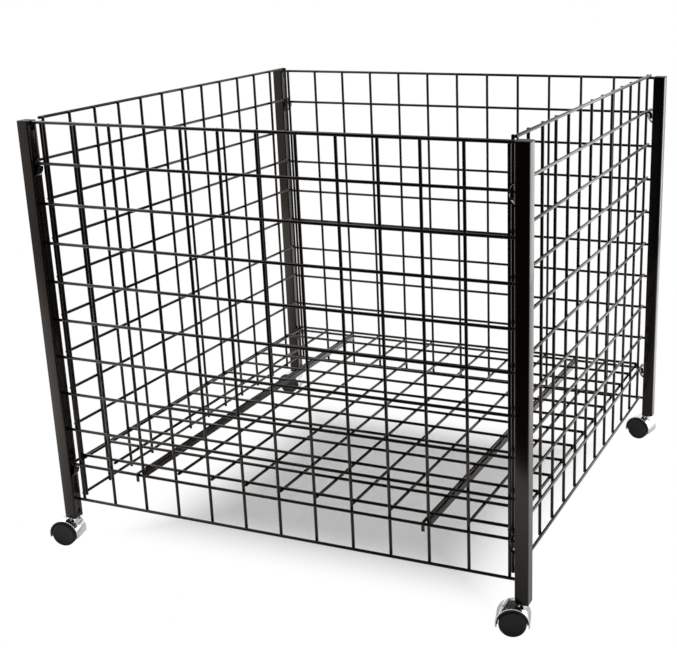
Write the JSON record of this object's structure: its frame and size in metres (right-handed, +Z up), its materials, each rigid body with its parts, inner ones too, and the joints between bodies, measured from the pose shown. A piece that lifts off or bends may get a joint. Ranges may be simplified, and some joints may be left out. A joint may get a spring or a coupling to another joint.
{
  "type": "retail dump bin",
  "caption": "Square wire-grid retail dump bin: hooked-on grid panels between capped square posts on chrome-hooded swivel casters, with a loose wire deck on hooked bars.",
  "frame": {"origin": "on the floor under the wheels, below the middle of the box that holds the whole bin", "axes": "+Z up, +X to the right when facing the front panel, and the front panel looks along -Y"},
  "size_m": [1.0388, 1.0106, 0.8733],
  "materials": {
    "black_powder_coat": "satin black powder coat on steel wire, square tube and folded sheet",
    "black_cap_plastic": "moulded black plastic, lightly satin",
    "chrome_plate": "bright chrome plate on pressed steel",
    "black_nylon": "matte black moulded nylon",
    "axle_steel": "plain drawn steel"
  },
  "bodies": {
    "bin": {"front_left_post": "black_powder_coat", "front_left_post_cap": "black_cap_plastic", "front_left_caster_socket": "black_cap_plastic", "front_right_post": "black_powder_coat", "front_right_post_cap": "black_cap_plastic", "front_right_caster_socket": "black_cap_plastic", "back_left_post": "black_powder_coat", "back_left_post_cap": "black_cap_plastic", "back_left_caster_socket": "black_cap_plastic", "back_right_post": "black_powder_coat", "back_right_post_cap": "black_cap_plastic", "back_right_caster_socket": "black_cap_plastic", "front_panel": "black_powder_coat", "back_panel": "black_powder_coat", "left_panel": "black_powder_coat", "right_panel": "black_powder_coat", "deck": "black_powder_coat", "left_deck_bar": "black_powder_coat", "right_deck_bar": "black_powder_coat"},
    "front_left_caster": {"front_left_stem": "chrome_plate", "front_left_hood": "chrome_plate", "front_left_caster_body": "black_nylon", "front_left_axle": "axle_steel"},
    "front_left_caster_wheel_a": {"front_left_wheel_a": "black_nylon"},
    "front_left_caster_wheel_b": {"front_left_wheel_b": "black_nylon"},
    "front_right_caster": {"front_right_stem": "chrome_plate", "front_right_hood": "chrome_plate", "front_right_caster_body": "black_nylon", "front_right_axle": "axle_steel"},
    "front_right_caster_wheel_a": {"front_right_wheel_a": "black_nylon"},
    "front_right_caster_wheel_b": {"front_right_wheel_b": "black_nylon"},
    "back_left_caster": {"back_left_stem": "chrome_plate", "back_left_hood": "chrome_plate", "back_left_caster_body": "black_nylon", "back_left_axle": "axle_steel"},
    "back_left_caster_wheel_a": {"back_left_wheel_a": "black_nylon"},
    "back_left_caster_wheel_b": {"back_left_wheel_b": "black_nylon"},
    "back_right_caster": {"back_right_stem": "chrome_plate", "back_right_hood": "chrome_plate", "back_right_caster_body": "black_nylon", "back_right_axle": "axle_steel"},
    "back_right_caster_wheel_a": {"back_right_wheel_a": "black_nylon"},
    "back_right_caster_wheel_b": {"back_right_wheel_b": "black_nylon"}
  },
  "joints": [
    {"name": "front_left_swivel", "type": "hinge", "parent": "bin", "child": "front_left_caster", "pos_m": [-0.4674, -0.47294, 0.06], "axis": [0, 0, 1], "continuous": true},
    {"name": "front_left_wheel_a_spin", "type": "hinge", "parent": "front_left_caster", "child": "front_left_caster_wheel_a", "pos_m": [-0.48501, -0.47669, 0.025], "axis": [0.2079, -0.9781, 0], "continuous": true},
    {"name": "front_left_wheel_b_spin", "type": "hinge", "parent": "front_left_caster", "child": "front_left_caster_wheel_b", "pos_m": [-0.48501, -0.47669, 0.025], "axis": [0.2079, -0.9781, 0], "continuous": true},
    {"name": "front_right_swivel", "type": "hinge", "parent": "bin", "child": "front_right_caster", "pos_m": [0.50175, -0.47294, 0.06], "axis": [0, 0, 1], "continuous": true},
    {"name": "front_right_wheel_a_spin", "type": "hinge", "parent": "front_right_caster", "child": "front_right_caster_wheel_a", "pos_m": [0.48436, -0.4776, 0.025], "axis": [0.2588, -0.9659, 0], "continuous": true},
    {"name": "front_right_wheel_b_spin", "type": "hinge", "parent": "front_right_caster", "child": "front_right_caster_wheel_b", "pos_m": [0.48436, -0.4776, 0.025], "axis": [0.2588, -0.9659, 0], "continuous": true},
    {"name": "back_left_swivel", "type": "hinge", "parent": "bin", "child": "back_left_caster", "pos_m": [-0.4674, 0.47506, 0.06], "axis": [0, 0, 1], "continuous": true},
    {"name": "back_left_wheel_a_spin", "type": "hinge", "parent": "back_left_caster", "child": "back_left_caster_wheel_a", "pos_m": [-0.48533, 0.47349, 0.025], "axis": [0.0872, -0.9962, 0], "continuous": true},
    {"name": "back_left_wheel_b_spin", "type": "hinge", "parent": "back_left_caster", "child": "back_left_caster_wheel_b", "pos_m": [-0.48533, 0.47349, 0.025], "axis": [0.0872, -0.9962, 0], "continuous": true},
    {"name": "back_right_swivel", "type": "hinge", "parent": "bin", "child": "back_right_caster", "pos_m": [0.50175, 0.47506, 0.06], "axis": [0, 0, 1], "continuous": true},
    {"name": "back_right_wheel_a_spin", "type": "hinge", "parent": "back_right_caster", "child": "back_right_caster_wheel_a", "pos_m": [0.48414, 0.4788, 0.025], "axis": [-0.2079, -0.9781, 0], "continuous": true},
    {"name": "back_right_wheel_b_spin", "type": "hinge", "parent": "back_right_caster", "child": "back_right_caster_wheel_b", "pos_m": [0.48414, 0.4788, 0.025], "axis": [-0.2079, -0.9781, 0], "continuous": true}
  ]
}
